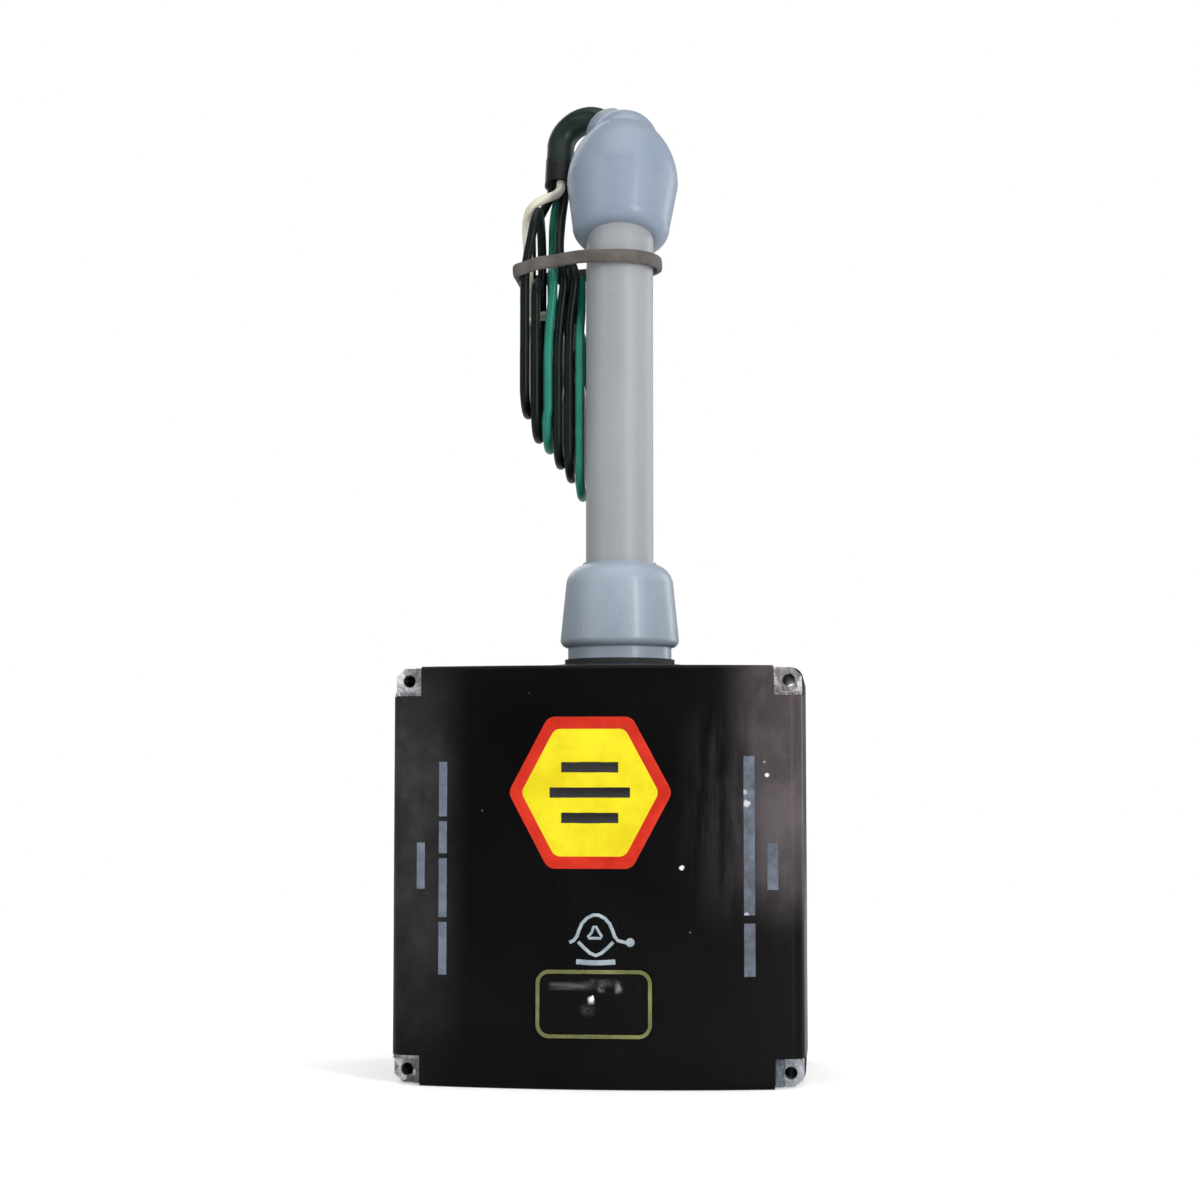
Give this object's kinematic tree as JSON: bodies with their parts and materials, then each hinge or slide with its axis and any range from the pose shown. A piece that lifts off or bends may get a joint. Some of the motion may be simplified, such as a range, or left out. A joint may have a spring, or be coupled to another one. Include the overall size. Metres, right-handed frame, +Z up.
{
  "type": "surge protective device",
  "caption": "Black moulded surge protective device with an indicator window, a grey conduit stem, a bent outlet boot and a folded hank of leads.",
  "frame": {"origin": "bottom face of the housing, at the middle of its width and of its depth over the window bezel and the back plate; the conduit's axis stands 4 mm to +X of it", "axes": "+Z up along the conduit, +Y towards the back plate, so the front looks along -Y"},
  "size_m": [0.124, 0.088, 0.3141],
  "materials": {
    "housing_black": "glossy moulded black",
    "plate_steel": "zinc plated",
    "gasket_rubber": "matt",
    "cap_metal": "bright die-cast",
    "strip_blue": "pale blue-grey",
    "bezel_olive": "olive rim",
    "lens_black": "polished dark lens",
    "light_guide": "frosted clear",
    "lamp": "diffused lamp body",
    "board_green": "lacquered laminate",
    "screw_steel": "zinc plated",
    "buzzer_black": "fine matt",
    "washer_rubber": "matt black",
    "fitting_grey": "smooth blue-grey paint",
    "conduit_grey": "smooth grey",
    "nut_steel": "zinc plated",
    "bushing_cream": "moulded nylon",
    "ring_pale": "bright",
    "boot_rubber": "satin greenish black",
    "band_rubber": "matt brown-grey",
    "inner_wire": "insulation",
    "wire_black": "glossy insulation",
    "wire_green": "glossy insulation",
    "wire_white": "glossy insulation",
    "standoff_brass": "turned",
    "varistor_blue": "dipped coating",
    "fuse_tan": "ceramic body",
    "capacitor_yellow": "boxed film",
    "block_grey": "moulded",
    "sheet_paper": "insulating board",
    "lug_brass": "tinned",
    "ground_green": "green passivated",
    "bond_green": "green insulation"
  },
  "bodies": {
    "root": {"housing": "housing_black", "back_plate": "plate_steel", "gasket": "gasket_rubber", "corner_caps": "cap_metal", "trim_strips_left": "strip_blue", "trim_strips_right": "strip_blue", "window_bezel": "bezel_olive", "window_lens": "lens_black", "light_guide": "light_guide", "status_lamps": "lamp", "indicator_board": "board_green", "indicator_screws": "screw_steel", "buzzer": "buzzer_black", "sealing_washer": "washer_rubber", "conduit_hub": "fitting_grey", "hub_locknut": "nut_steel", "hub_bushing": "bushing_cream", "conduit": "conduit_grey", "outlet_connector": "fitting_grey", "outlet_ring": "ring_pale", "lead_boot": "boot_rubber", "rubber_band": "band_rubber", "inner_leads": "inner_wire", "lead_black_a": "wire_black", "lead_black_b": "wire_black", "lead_green": "wire_green", "lead_white": "wire_white", "lead_hank": "wire_black", "circuit_board": "board_green", "board_standoffs": "standoff_brass", "board_screws": "screw_steel", "varistors": "varistor_blue", "thermal_fuses": "fuse_tan", "filter_capacitors": "capacitor_yellow", "terminal_block": "block_grey", "terminal_screws": "screw_steel", "insulating_sheet": "sheet_paper", "housing_screws": "screw_steel", "ground_lug": "lug_brass", "ground_screw": "ground_green", "bonding_lead": "bond_green"}
  },
  "joints": []
}
